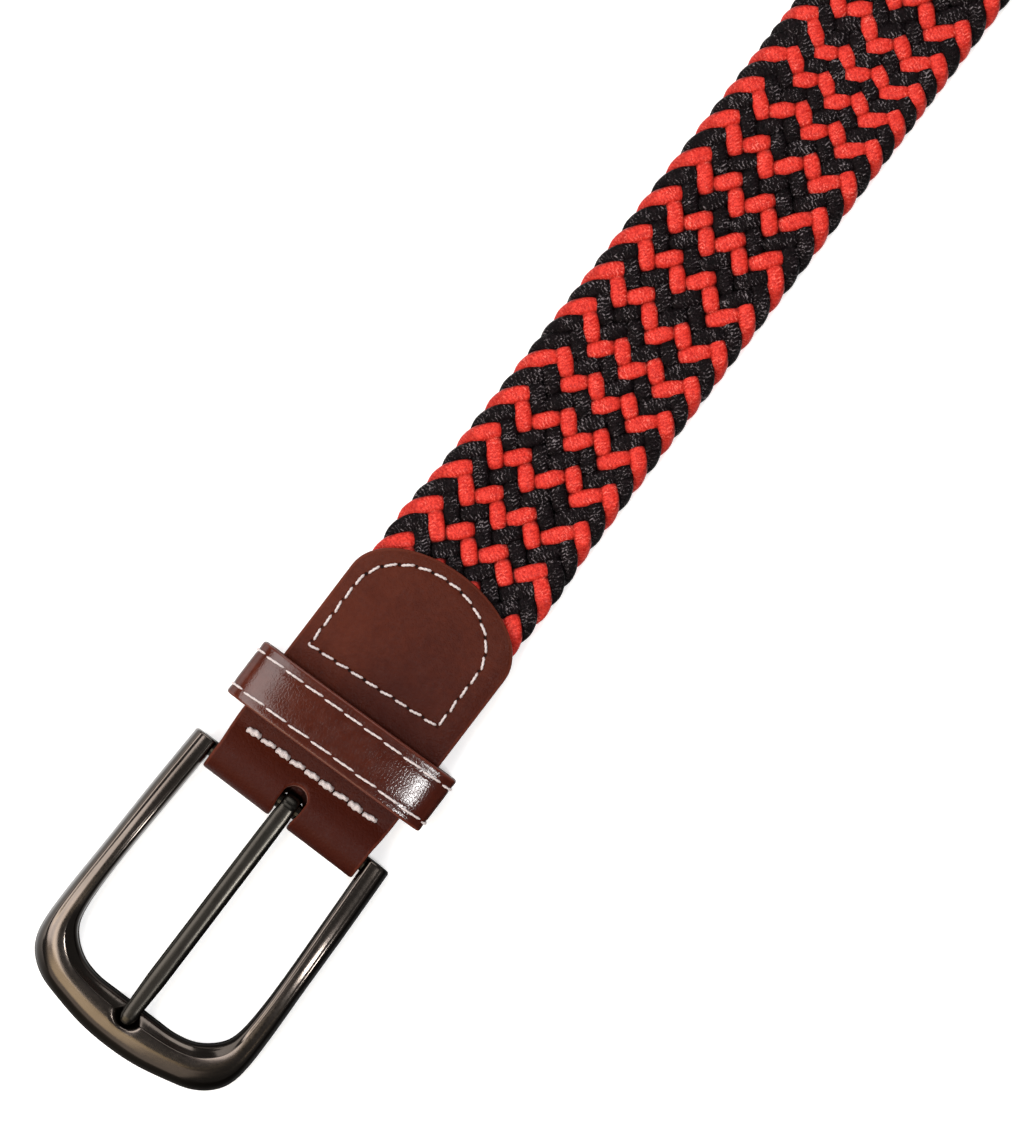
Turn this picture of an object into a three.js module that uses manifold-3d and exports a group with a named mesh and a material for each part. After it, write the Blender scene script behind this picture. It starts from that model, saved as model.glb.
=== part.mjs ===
// A braided belt lying flat and straight: pin buckle, folded tab, keeper loop, braided band and leather tip.
// Millimetres, +Z up. +X runs from the buckle to the tip, and the origin is under the middle of the belt.
// Places along the belt are written as distances from the front of the buckle, and at() turns them into X.
import * as THREE from 'three';
import { mergeVertices } from 'three/addons/utils/BufferGeometryUtils.js';
import Module from 'manifold-3d';

const wasm = await Module();
wasm.setup();

// Driving dimensions
const beltLength = 1050;
const leather = 1.7;
const gap = 0.3;
const underside = 0;
const overshoot = 1;

const bar = { along: 56.9, height: 3.7, radius: 1.6, halfLength: 20.7, sides: 16 };
const socket = { radius: bar.radius + gap, halfLength: bar.halfLength + gap };

const frame = {
  bevel: 0.6, endScale: 0.86, railCrest: 5.8, armCrest: 5.9, armBase: 1.5,
  arch: 1.8, archStart: 2, archEnd: 66,
};
const notch = { radius: 4, centreHeight: 8.4, front: 7.65, length: 12 };

const prong = {
  tip: 5.5, tipHeight: 6.0, tipStart: 7.6, tipHalfWidth: 1.6, taperEnd: 16, halfWidth: 1.95,
  neckStart: 54.8, neckEnd: 56.3, neckHalfWidth: 1.65, ring: 3.2, back: 7.0, edge: 1.1,
};
const slot = { halfWidth: 2.35, end: 59.25, start: 50 };

const tab = {
  foldHalfWidth: 17.65, foldCorner: 1, stepStart: 60.5, stepEnd: 61.7,
  halfWidth: 18.1, straightEnd: 100.5, end: 111.6,
};
const keeper = { start: 67.7, width: 11.9, halfWidth: 22.4, wall: 1.6, room: 5.3, corner: 5.2, edge: 0.3 };
const braid = { start: 87, endInTip: 86, corner: 1.5 };
const tip = { length: 110, halfWidth: 17.6, point: 18, shoulder: 9 };

const at = (along) => along - beltLength / 2;

// Frame outline seen from above, from the middle of the rail to the end of one arm
const frameStations = [
  { outer: [0.0, 0.0], inner: [9.3, 0.0] },
  { outer: [0.4, 6.5], inner: [9.3, 4.8] },
  { outer: [1.7, 13.0], inner: [9.4, 9.0] },
  { outer: [3.0, 17.4], inner: [10.3, 12.8] },
  { outer: [5.2, 20.7], inner: [12.2, 15.8] },
  { outer: [8.2, 22.8], inner: [14.8, 17.9] },
  { outer: [12.5, 23.7], inner: [18.3, 18.8] },
  { outer: [20.0, 23.8], inner: [24.0, 19.1] },
  { outer: [31.0, 23.45], inner: [32.0, 19.0] },
  { outer: [45.0, 23.1], inner: [45.0, 18.5] },
  { outer: [57.8, 22.65], inner: [57.8, 18.0] },
];

// Frame section: across runs from the inner face (0) to the outer face (1), heights from base to crest
const frameSection = [
  { across: 0.06, rail: 0.0, arm: 0.0 },
  { across: 0.0, rail: 0.12, arm: 0.12 },
  { across: 0.0, rail: 0.55, arm: 0.72 },
  { across: 0.14, rail: 0.82, arm: 0.92 },
  { across: 0.28, rail: 0.97, arm: 0.98 },
  { across: 0.45, rail: 1.0, arm: 1.0 },
  { across: 0.61, rail: 0.95, arm: 0.98 },
  { across: 0.8, rail: 0.75, arm: 0.88 },
  { across: 0.95, rail: 0.42, arm: 0.62 },
  { across: 1.0, rail: 0.18, arm: 0.2 },
  { across: 0.94, rail: 0.0, arm: 0.0 },
];

// Underside and back of the prong's shank, from behind the tip to before the ring
const prongShank = [
  { along: 8.2, low: 5.0, high: 6.85 },
  { along: 30.0, low: 4.4, high: 6.95 },
  { along: 48.0, low: 4.5, high: 6.95 },
];

// Upper face of the tab's front layer, from the top of the fold to the rounded end
const tabTop = [
  { along: 59.3, height: 7.35 },
  { along: 61.5, height: 6.7 },
  { along: 64.0, height: 5.75 },
  { along: 67.0, height: 5.6 },
  { along: 76.0, height: 5.62 },
  { along: 81.0, height: 5.92 },
  { along: 86.0, height: 6.48 },
  { along: 91.0, height: 6.88 },
  { along: 95.0, height: 7.0 },
  { along: 107.0, height: 7.0 },
  { along: 111.6, height: 6.4 },
];

// Upper face of the tip's front layer, from the end that holds the braid to the free end
const tipTop = [
  { fromEnd: 110, height: 6.4 },
  { fromEnd: 105, height: 7.0 },
  { fromEnd: 84, height: 7.0 },
  { fromEnd: 74, height: 3.9 },
  { fromEnd: 68, height: 3.7 },
  { fromEnd: 0, height: 3.7 },
];

// Upper face of the tip's back layer, which lies flat
const tipUnderside = [
  { fromEnd: 110, height: underside + leather },
  { fromEnd: 0, height: underside + leather },
];

// Braided band, from its end inside the tab to where it lies on the surface
const braidSections = [
  { along: 87, low: 2.0, high: 4.4, halfWidth: 15.6 },
  { along: 91, low: 2.0, high: 4.8, halfWidth: 15.7 },
  { along: 95, low: 2.0, high: 5.0, halfWidth: 15.9 },
  { along: 106, low: 2.0, high: 5.0, halfWidth: 16.2 },
  { along: 112, low: 2.0, high: 4.4, halfWidth: 16.45 },
  { along: 117, low: 0.9, high: 4.3, halfWidth: 16.2 },
  { along: 123, low: 0.0, high: 4.2, halfWidth: 15.8 },
  { along: 150, low: 0.0, high: 4.2, halfWidth: 15.6 },
];

const steel = { color: 0x4b4540, metalness: 0.95, roughness: 0.35 };
const brownLeather = { color: 0x4a1e14, metalness: 0, roughness: 0.45 };
const cordage = { color: 0x2a1614, metalness: 0, roughness: 0.8 };

function smooth(low, high, value) {
  return THREE.MathUtils.smoothstep(value, low, high);
}

// A closed mesh as a solid for cutting and joining
function solidOf(geometry) {
  const bare = geometry.clone();
  bare.deleteAttribute('normal');
  bare.deleteAttribute('uv');
  const merged = mergeVertices(bare, 1e-4);
  const mesh = new wasm.Mesh({
    numProp: 3,
    vertProperties: new Float32Array(merged.attributes.position.array),
    triVerts: new Uint32Array(merged.index.array),
  });
  return new wasm.Manifold(mesh);
}

function geometryOf(solid) {
  const mesh = solid.getMesh();
  const geometry = new THREE.BufferGeometry();
  geometry.setAttribute('position', new THREE.BufferAttribute(new Float32Array(mesh.vertProperties), 3));
  geometry.setIndex(new THREE.BufferAttribute(new Uint32Array(mesh.triVerts), 1));
  geometry.computeVertexNormals();
  return geometry;
}

// A skin over rings of points, each ring convex and with the same count, closed by a flat cap at each end
function loft(rings) {
  const count = rings[0].length;
  const positions = rings.flat().flatMap((point) => [point.x, point.y, point.z]);
  const index = [];
  for (let ring = 0; ring < rings.length - 1; ring++) {
    for (let side = 0; side < count; side++) {
      const a = ring * count + side;
      const b = ring * count + ((side + 1) % count);
      index.push(a, b, a + count, b, b + count, a + count);
    }
  }
  const last = (rings.length - 1) * count;
  for (let side = 1; side < count - 1; side++) {
    index.push(0, side + 1, side);
    index.push(last, last + side, last + side + 1);
  }
  const geometry = new THREE.BufferGeometry();
  geometry.setAttribute('position', new THREE.Float32BufferAttribute(positions, 3));
  geometry.setIndex(index);
  geometry.computeVertexNormals();
  return geometry;
}

// A side profile, drawn as distance along the belt and height, carried across the belt
function acrossBelt(shape, halfWidth) {
  const depth = 2 * halfWidth;
  const geometry = new THREE.ExtrudeGeometry(shape, { depth, curveSegments: 10, bevelEnabled: false });
  geometry.rotateX(Math.PI / 2);
  return geometry.translate(at(0), halfWidth, 0);
}

// A section, drawn as distance across the belt and height, carried along the belt with its end edges eased
function alongBelt(shape, start, length, edge) {
  const geometry = new THREE.ExtrudeGeometry(shape, {
    depth: length - 2 * edge,
    curveSegments: 6,
    bevelThickness: edge,
    bevelSize: edge,
    bevelOffset: -edge,
    bevelSegments: 1,
  });
  const turn = new THREE.Matrix4().makeBasis(
    new THREE.Vector3(0, 1, 0), new THREE.Vector3(0, 0, 1), new THREE.Vector3(1, 0, 0));
  geometry.applyMatrix4(turn);
  return geometry.translate(at(start + edge), 0, 0);
}

// A plan outline, drawn as distance along the belt and across it, carried upwards past every layer
function upwards(shape) {
  const tall = 12;
  const geometry = new THREE.ExtrudeGeometry(shape, { depth: tall, curveSegments: 12, bevelEnabled: false });
  geometry.translate(at(0), 0, -tall / 6);
  return geometry;
}

function part(name, geometry, finish) {
  const mesh = new THREE.Mesh(geometry, new THREE.MeshStandardMaterial(finish));
  mesh.name = name;
  return mesh;
}

// The frame is arched from its rail to its hinge by a squared sine
function archHeight(along) {
  const share = THREE.MathUtils.clamp((along - frame.archStart) / (frame.archEnd - frame.archStart), 0, 1);
  return frame.arch * Math.sin(Math.PI * share) ** 2;
}

// One section of the frame between its inner and outer outline points
function frameRing(outer, inner) {
  const railShare = 1 - smooth(2.5, 15, outer.x);
  const lift = smooth(18, 52, outer.x);
  const base = THREE.MathUtils.lerp(underside, frame.armBase, lift);
  const crest = THREE.MathUtils.lerp(frame.railCrest, frame.armCrest, lift);
  return frameSection.map(({ across, rail, arm }) => {
    const plan = new THREE.Vector3().lerpVectors(inner, outer, across);
    const share = THREE.MathUtils.lerp(arm, rail, railShare);
    const height = THREE.MathUtils.lerp(base, crest, share) + archHeight(plan.x);
    return new THREE.Vector3(at(plan.x), plan.y, height);
  });
}

// The arm's end: the last section moved out by the bevel and drawn in towards its middle
function frameEnd(ring) {
  const middle = new THREE.Vector3();
  ring.forEach((point) => middle.addScaledVector(point, 1 / ring.length));
  return ring.map((point) => {
    const moved = middle.clone().lerp(point, frame.endScale);
    moved.x = point.x + frame.bevel;
    return moved;
  });
}

function buckleFrame() {
  const mirrored = frameStations.slice(1).map(({ outer, inner }) => ({
    outer: [outer[0], -outer[1]],
    inner: [inner[0], -inner[1]],
  }));
  const stations = [...frameStations].reverse().concat(mirrored);
  const curve = (side) => new THREE.CatmullRomCurve3(
    stations.map((station) => new THREE.Vector3(station[side][0], station[side][1], 0)));
  const outerCurve = curve('outer');
  const innerCurve = curve('inner');
  const steps = 3 * (stations.length - 1);
  const rings = [];
  for (let step = 0; step <= steps; step++) {
    rings.push(frameRing(outerCurve.getPoint(step / steps), innerCurve.getPoint(step / steps)));
  }
  rings.unshift(frameEnd(rings[0]));
  rings.push(frameEnd(rings.at(-1)));

  const scoop = new THREE.CapsuleGeometry(notch.radius, notch.length, 6, 24);
  scoop.rotateZ(Math.PI / 2);
  scoop.translate(at(notch.front + notch.length / 2), 0, notch.centreHeight);
  const sockets = new THREE.CylinderGeometry(socket.radius, socket.radius, 2 * socket.halfLength, bar.sides);
  sockets.translate(at(bar.along), 0, bar.height);
  return geometryOf(solidOf(loft(rings)).subtract(solidOf(scoop)).subtract(solidOf(sockets)));
}

function hingeBar() {
  const geometry = new THREE.CylinderGeometry(bar.radius, bar.radius, 2 * bar.halfLength, bar.sides);
  return geometry.translate(at(bar.along), 0, bar.height);
}

// A plan outline that is alike on both sides, from rows of distance along the belt and half width
function symmetricPlan(rows) {
  const near = rows.map(([along, half]) => new THREE.Vector2(along, -half));
  const far = rows.filter(([, half]) => half > 0).map(([along, half]) => new THREE.Vector2(along, half));
  return new THREE.Shape([...near, ...far.reverse()]);
}

// Rows of a round or elliptical end that starts at full width and closes to a point
function roundEnd(straightEnd, length, halfWidth, steps = 12) {
  return Array.from({ length: steps + 1 }, (_, step) => {
    const angle = (step / steps) * (Math.PI / 2);
    return [straightEnd + length * Math.sin(angle), step === steps ? 0 : halfWidth * Math.cos(angle)];
  });
}

// The prong: a ring round the bar, a straight shank and a rounded tip that drops into the rail's notch
function prongPiece() {
  const [first] = prongShank;
  const meetHeight = prongShank.at(-1).low + gap;
  const meetAngle = Math.PI - Math.asin((meetHeight - bar.height) / prong.ring);
  const side = new THREE.Shape();
  side.moveTo(prong.tip, prong.tipHeight);
  side.quadraticCurveTo(prong.tip, first.high, first.along, first.high);
  prongShank.forEach(({ along, high }) => side.lineTo(along, high));
  side.lineTo(bar.along, bar.height + prong.ring);
  side.absarc(bar.along, bar.height, prong.ring, Math.PI / 2, meetAngle - 2 * Math.PI, true);
  [...prongShank].reverse().forEach(({ along, low }) => side.lineTo(along, low));
  side.quadraticCurveTo(prong.tip, first.low, prong.tip, prong.tipHeight);
  const eye = new THREE.Path();
  eye.absarc(bar.along, bar.height, bar.radius + gap, 0, 2 * Math.PI, false);
  side.holes.push(eye);

  const plan = symmetricPlan([
    ...roundEnd(prong.tipStart, prong.tip - prong.tipStart, prong.tipHalfWidth, 6).reverse(),
    [prong.taperEnd, prong.halfWidth],
    [prong.neckStart, prong.halfWidth],
    [prong.neckEnd, prong.neckHalfWidth],
    [bar.along + 2 * prong.ring, prong.neckHalfWidth],
  ]);
  const back = roundedLoop(prong.halfWidth, -prong.back, prong.back, prong.edge);
  const shank = solidOf(acrossBelt(side, prong.halfWidth + overshoot)).intersect(solidOf(upwards(plan)));
  return geometryOf(shank.intersect(solidOf(alongBelt(back, 0, beltLength / 4, 0))));
}

// The tab: one strip of leather folded round the bar, with the prong's slot cut through both layers.
// Seen from above it has a straight fold between the frame's arms, a small step out and a rounded end.
function leatherTab() {
  const outside = bar.height - underside;
  const inside = outside - leather;
  const side = new THREE.Shape();
  side.moveTo(tab.end + overshoot, underside);
  side.lineTo(bar.along, underside);
  side.absarc(bar.along, bar.height, outside, -Math.PI / 2, -1.5 * Math.PI, true);
  tabTop.forEach(({ along, height }) => side.lineTo(along, height));
  [...tabTop].reverse().forEach(({ along, height }) => side.lineTo(along, height - leather));
  side.lineTo(bar.along, bar.height + inside);
  side.absarc(bar.along, bar.height, inside, Math.PI / 2, 1.5 * Math.PI, false);
  side.lineTo(tab.end + overshoot, underside + leather);

  const front = bar.along - outside;
  const plan = symmetricPlan([
    [front, tab.foldHalfWidth - tab.foldCorner],
    [front + tab.foldCorner, tab.foldHalfWidth],
    [tab.stepStart, tab.foldHalfWidth],
    [tab.stepEnd, tab.halfWidth],
    ...roundEnd(tab.straightEnd, tab.end - tab.straightEnd, tab.halfWidth),
  ]);
  const opening = symmetricPlan([
    [slot.start, slot.halfWidth],
    ...roundEnd(slot.end, slot.halfWidth, slot.halfWidth),
  ]);
  const strip = solidOf(acrossBelt(side, tab.halfWidth + overshoot)).intersect(solidOf(upwards(plan)));
  return geometryOf(strip.subtract(solidOf(upwards(opening))));
}

function roundedLoop(halfWidth, low, high, radius) {
  const loop = new THREE.Shape();
  loop.moveTo(radius - halfWidth, low);
  loop.lineTo(halfWidth - radius, low);
  loop.absarc(halfWidth - radius, low + radius, radius, -Math.PI / 2, 0, false);
  loop.lineTo(halfWidth, high - radius);
  loop.absarc(halfWidth - radius, high - radius, radius, 0, Math.PI / 2, false);
  loop.lineTo(radius - halfWidth, high);
  loop.absarc(radius - halfWidth, high - radius, radius, Math.PI / 2, Math.PI, false);
  loop.lineTo(-halfWidth, low + radius);
  loop.absarc(radius - halfWidth, low + radius, radius, Math.PI, 1.5 * Math.PI, false);
  return loop;
}

// The keeper: a leather ring whose lower run lies between the tab's two layers
function keeperLoop() {
  const low = underside + leather + gap;
  const tabFace = low + keeper.wall + gap + leather;
  const high = tabFace + keeper.room + keeper.wall;
  const ring = roundedLoop(keeper.halfWidth, low, high, keeper.corner);
  const inner = roundedLoop(keeper.halfWidth - keeper.wall, low + keeper.wall, high - keeper.wall,
    keeper.corner - keeper.wall);
  ring.holes.push(inner);
  return alongBelt(ring, keeper.start, keeper.width, keeper.edge);
}

// One section of the braided band: a flat rectangle with rounded sides, seen along the belt
function braidRing({ along, low, high, halfWidth }) {
  const middle = (low + high) / 2;
  const rise = (high - low) / 2;
  const ring = [];
  for (const [sideY, sideZ] of [[1, -1], [1, 1], [-1, 1], [-1, -1]]) {
    const start = Math.atan2(sideZ, sideY) - Math.PI / 4;
    for (const turn of [0, Math.PI / 4, Math.PI / 2]) {
      const y = sideY * (halfWidth - braid.corner) + braid.corner * Math.cos(start + turn);
      const z = middle + sideZ * (rise - braid.corner) + braid.corner * Math.sin(start + turn);
      ring.push(new THREE.Vector3(at(along), y, z));
    }
  }
  return ring;
}

function braidedBand() {
  const farEnd = [...braidSections].reverse().map((section) => ({
    ...section,
    along: beltLength - braid.endInTip + (braid.start - section.along),
  }));
  return loft([...braidSections, ...farEnd].map(braidRing));
}

// One layer of the tip under the given upper face: a low rounded end towards the braid and a rounded free end
function tipLayer(upperFace) {
  const rows = upperFace.map(({ fromEnd, height }) => ({ along: beltLength - fromEnd, height }));
  rows[0].along -= overshoot;
  rows.at(-1).along += overshoot;
  const side = new THREE.Shape();
  side.moveTo(rows[0].along, rows[0].height - leather);
  rows.slice(1).forEach(({ along, height }) => side.lineTo(along, height - leather));
  [...rows].reverse().forEach(({ along, height }) => side.lineTo(along, height));
  const start = beltLength - tip.length;
  const plan = symmetricPlan([
    ...roundEnd(start + tip.shoulder, -tip.shoulder, tip.halfWidth).reverse(),
    ...roundEnd(beltLength - tip.point, tip.point, tip.halfWidth),
  ]);
  return geometryOf(solidOf(acrossBelt(side, tip.halfWidth + overshoot)).intersect(solidOf(upwards(plan))));
}

const belt = new THREE.Group();
belt.add(
  part('buckle_frame', buckleFrame(), steel),
  part('hinge_bar', hingeBar(), steel),
  part('prong', prongPiece(), steel),
  part('leather_tab', leatherTab(), brownLeather),
  part('keeper_loop', keeperLoop(), brownLeather),
  part('braided_band', braidedBand(), cordage),
  part('tip_front', tipLayer(tipTop), brownLeather),
  part('tip_back', tipLayer(tipUnderside), brownLeather),
);

export default belt;
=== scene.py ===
import bmesh
import bpy
import numpy as np
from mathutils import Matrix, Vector


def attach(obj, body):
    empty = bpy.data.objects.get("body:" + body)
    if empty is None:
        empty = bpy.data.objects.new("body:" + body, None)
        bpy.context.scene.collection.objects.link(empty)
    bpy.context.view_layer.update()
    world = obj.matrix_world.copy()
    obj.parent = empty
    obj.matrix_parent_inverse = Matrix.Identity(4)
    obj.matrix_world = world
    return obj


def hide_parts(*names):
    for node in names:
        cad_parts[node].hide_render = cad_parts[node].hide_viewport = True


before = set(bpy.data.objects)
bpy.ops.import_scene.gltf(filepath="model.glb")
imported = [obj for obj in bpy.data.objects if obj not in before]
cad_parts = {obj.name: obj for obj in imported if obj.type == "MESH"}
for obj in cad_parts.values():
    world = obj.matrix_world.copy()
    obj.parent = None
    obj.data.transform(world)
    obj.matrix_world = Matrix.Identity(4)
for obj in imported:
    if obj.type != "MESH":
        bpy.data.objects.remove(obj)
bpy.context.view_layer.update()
print("frame loaded")

beltLength = 1050.0
leather = 1.7  # thickness of every layer but the keeper's
barAlong, barHeight = 56.9, 3.7  # middle of the hinge bar
metre = 0.001
weldReach = 0.000002  # in metres
farAway = 99.0  # more than any distance here


def smoothRise(low, high, value):
    # 0 up to low, 1 from high on, and 3t^2 - 2t^3 between them
    t = np.clip((value - low) / (high - low), 0, 1)
    return t * t * (3 - 2 * t)


def signedPower(value, power):
    # sign(v) |v|^power
    return np.sign(value) * np.abs(value) ** power


def cubic(a, b, c, d, t):
    # From b at t = 0 to c at t = 1, passing each of them along the chord of its neighbours
    square, cube = 2 * a - 5 * b + 4 * c - d, 3 * b - a - 3 * c + d
    return 0.5 * (2 * b + (c - a) * t + square * t ** 2 + cube * t ** 3)


def curveThrough(points, perSpan):
    # The cubic from each point to the next, in perSpan steps
    p = np.asarray(points, float)
    p = np.vstack([2 * p[0] - p[1], p, 2 * p[-1] - p[-2]])
    t = (np.arange(perSpan) / perSpan)[None, :, None]
    spans = cubic(*(p[i:len(p) - 3 + i, None, :] for i in range(4)), t)
    return np.vstack([spans.reshape(-1, p.shape[1]), p[-2]])


def beside(*values):
    # The values side by side along a new last axis
    return np.stack(np.broadcast_arrays(*values), axis=-1)


def arcLength(points):
    # Distance along a path to each of its points
    return np.concatenate([[0], np.cumsum(np.linalg.norm(np.diff(points, axis=0), axis=1))])


def valuesAt(places, arc, values):
    # The rows of values that belong to the distances arc, at other places by straight lines
    return beside(*(np.interp(places, arc, column) for column in values.T))


def unit(vectors):
    # The same directions, each of length 1
    return vectors / np.maximum(np.linalg.norm(vectors, axis=-1, keepdims=True), 1e-12)


def gridFaces(rows, columns, aroundColumns=False, aroundRows=False):
    # Quads of a grid whose point (i, j) has the number i * columns + j
    i = np.arange(rows if aroundRows else rows - 1)[:, None]
    j = np.arange(columns if aroundColumns else columns - 1)[None, :]
    nextI, nextJ = (i + 1) % rows, (j + 1) % columns
    here, after = i * columns, nextI * columns
    return beside(here + j, here + nextJ, after + nextJ, after + j).reshape(-1, 4)


def capFaces(ring):
    # A ring with an even count of points closed by a row of quads that join its two sides
    half = len(ring) // 2
    i = np.arange(half - 1)
    return beside(ring[i], ring[i + 1], ring[len(ring) - 2 - i], ring[len(ring) - 1 - i])


def tubeFaces(rings, sides):
    # Each ring joined to the next, and both ends closed
    first, last = np.arange(sides), (rings - 1) * sides + np.arange(sides)
    return np.vstack([gridFaces(rings, sides, aroundColumns=True), capFaces(first)[:, ::-1], capFaces(last)])


def addPiece(name, body, points, faces, materials, faceMaterials=None, attributes=None, uv=None,
             weld=False):
    # The mesh is in metres about the belt's middle, turned outwards by the sign of the volume inside it
    points = np.asarray(points, float).reshape(-1, 3)
    a, b, c, d = (points[faces[:, i]] - points.mean(axis=0) for i in range(4))
    volume = np.einsum("ij,ij->i", a, np.cross(b, c)).sum() + np.einsum("ij,ij->i", a, np.cross(c, d)).sum()
    if volume < 0:
        faces = faces[:, ::-1]
        uv = None if uv is None else uv.reshape(-1, 4, 2)[:, ::-1].reshape(-1, 2)
    mesh = bpy.data.meshes.new(name)
    mesh.vertices.add(len(points))
    mesh.vertices.foreach_set("co", ((points - [beltLength / 2, 0, 0]) * metre).astype(np.float32).ravel())
    mesh.loops.add(faces.size)
    mesh.loops.foreach_set("vertex_index", faces.astype(np.int32).ravel())
    mesh.polygons.add(len(faces))
    mesh.polygons.foreach_set("loop_start", np.arange(0, faces.size, 4, dtype=np.int32))
    for material in materials:
        mesh.materials.append(material)
    if faceMaterials is not None:
        mesh.polygons.foreach_set("material_index", faceMaterials.astype(np.int32))
    mesh.update(calc_edges=True)
    mesh.polygons.foreach_set("use_smooth", np.ones(len(faces), dtype=bool))
    for key, values in (attributes or {}).items():
        attribute = mesh.attributes.new(key, "FLOAT", "POINT")
        attribute.data.foreach_set("value", values.astype(np.float32).ravel())
    if uv is not None:
        mesh.uv_layers.new(name="threads").data.foreach_set("uv", uv.astype(np.float32).ravel())
    piece = bpy.data.objects.new(name, mesh)
    bpy.context.scene.collection.objects.link(piece)
    if weld:
        work = bmesh.new()
        work.from_mesh(mesh)
        bmesh.ops.remove_doubles(work, verts=work.verts, dist=weldReach)
        work.to_mesh(mesh)
        work.free()
    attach(piece, body)
    return piece


# Materials: every pattern reads Object coordinates, the cords' own UV map or a piece's own attribute

def feed(tree, node, inputs):
    # Inputs are linked to sockets or set to values, a colour without its alpha
    for key, value in inputs.items():
        target = node.inputs[key]
        if isinstance(value, bpy.types.NodeSocket):
            tree.links.new(value, target)
        else:
            target.default_value = (*value, 1) if target.type == "RGBA" else value


def addNode(tree, kind, inputs=None, **settings):
    made = tree.nodes.new(kind)
    for key, value in settings.items():
        setattr(made, key, value)
    feed(tree, made, inputs or {})
    return made


def calc(tree, operation, a, b=0.0):
    return addNode(tree, "ShaderNodeMath", {0: a, 1: b}, operation=operation).outputs[0]


def ramp(tree, value, low, high, toLow=0.0, toHigh=1.0):
    # Runs smoothly from toLow to toHigh while the value runs from low to high
    inputs = {"Value": value, "From Min": low, "From Max": high, "To Min": toLow, "To Max": toHigh}
    return addNode(tree, "ShaderNodeMapRange", inputs, interpolation_type="SMOOTHSTEP").outputs[0]


def mixed(tree, share, first, second):
    # The first colour where share is 0, the second where it is 1
    return addNode(tree, "ShaderNodeMix", {0: share, 6: first, 7: second}, data_type="RGBA").outputs[2]


def noise(tree, vector, scale, detail=3.0, roughness=0.55):
    inputs = {"Vector": vector, "Scale": scale, "Detail": detail, "Roughness": roughness}
    return addNode(tree, "ShaderNodeTexNoise", inputs).outputs["Fac"]


def painted(tree, name):
    # A value that the mesh carries at its points
    return addNode(tree, "ShaderNodeAttribute", attribute_name=name).outputs["Fac"]


def startMaterial(name):
    # A material, its tree, its shader and the place on the piece in millimetres
    material = bpy.data.materials.new(name)
    material.use_nodes = True
    tree = material.node_tree
    shader = tree.nodes["Principled BSDF"]
    coordinates = tree.nodes.new("ShaderNodeTexCoord").outputs["Object"]
    inMillimetres = addNode(tree, "ShaderNodeMapping", {"Vector": coordinates, "Scale": (1000, 1000, 1000)})
    return material, tree, shader, inMillimetres.outputs[0]


def finishSurface(tree, shader, colour, roughness, height, depth, others=None):
    # depth is the bump's height in metres
    bump = addNode(tree, "ShaderNodeBump", {"Height": height, "Strength": 1.0, "Distance": depth}).outputs[0]
    feed(tree, shader, {"Base Color": colour, "Roughness": roughness, "Normal": bump, **(others or {})})


# hole is the painted shade inside a needle hole
leatherLook = {
    "dark": (0.04, 0.0052, 0.002), "light": (0.086, 0.0155, 0.0062), "edge": (0.12, 0.027, 0.015),
    "hole": (0.006, 0.002, 0.0015), "holeRadius": 0.36, "holeDepth": 2.5, "cells": 1.25, "pebbles": 0.5,
    "fold": (53.0, 88.0), "foldShade": 0.8, "gloss": (0.32, 0.46), "grain": 0.00006, "shine": 0.08,
}
keeperLook = {
    **leatherLook, "cells": 1.5, "pebbles": 1.0, "foldShade": 0.0, "gloss": (0.14, 0.19), "grain": 0.0000075,
    "shine": 0.42,
}
tipLook = {**leatherLook, "foldShade": 0.0}


def leatherMaterial(name, look):
    material, tree, shader, mm = startMaterial(name)
    # broad patches with a little mottling, and painted shade that darkens the leather towards the fold
    mottled = noise(tree, mm, 0.9, 3.0)
    shade = calc(tree, "ADD", calc(tree, "MULTIPLY", noise(tree, mm, 0.035, 4.0), 0.75),
                 calc(tree, "MULTIPLY", mottled, 0.25))
    colour = mixed(tree, ramp(tree, shade, 0.29, 0.74), look["dark"], look["light"])
    if look["foldShade"]:
        x = addNode(tree, "ShaderNodeSeparateXYZ", {0: mm}).outputs[0]
        nearFold = ramp(tree, x, *(place - beltLength / 2 for place in look["fold"]), look["foldShade"], 0.0)
        colour = mixed(tree, nearFold, colour, look["dark"])
    # the rim is lighter and redder, more in some places than in others: edge paint, with a painted highlight
    # on the rounded edge
    uneven = calc(tree, "MULTIPLY", calc(tree, "SUBTRACT", mottled, 0.5), 0.5)
    rimTint = calc(tree, "ADD", painted(tree, "rim"), uneven)
    colour = mixed(tree, ramp(tree, rimTint, 0.2, 0.7, 0.75, 0.0), colour, look["edge"])
    # a needle hole between each two stitches, by its distance along the row and across it, painted dark as
    # the shade inside it
    toHole = calc(tree, "SUBTRACT", calc(tree, "FRACT", painted(tree, "stitchAlong")), 0.5)
    toHole = calc(tree, "MULTIPLY", toHole, painted(tree, "stitchPitch"))
    distance = calc(tree, "SQRT", calc(tree, "ADD", calc(tree, "POWER", toHole, 2.0),
                                       calc(tree, "POWER", painted(tree, "stitchAcross"), 2.0)))
    hole = ramp(tree, distance, look["holeRadius"] * 0.6, look["holeRadius"] * 1.25, 1.0, 0.0)
    colour = mixed(tree, hole, colour, look["hole"])
    # grain: pebbles between sunken lines, and a finer noise
    cells = addNode(tree, "ShaderNodeTexVoronoi", {"Vector": mm, "Scale": look["cells"]},
                    feature="DISTANCE_TO_EDGE")
    pebbles = ramp(tree, cells.outputs["Distance"], 0.0, 0.22)
    height = calc(tree, "ADD", calc(tree, "MULTIPLY", pebbles, look["pebbles"]), noise(tree, mm, 3.2, 4.0))
    height = calc(tree, "SUBTRACT", height, calc(tree, "MULTIPLY", hole, look["holeDepth"]))
    roughness = ramp(tree, noise(tree, mm, 0.4, 4.0), 0.3, 0.7, *look["gloss"])
    finishSurface(tree, shader, colour, roughness, height, look["grain"],
                  {"Specular IOR Level": look["shine"]})
    return material


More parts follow.
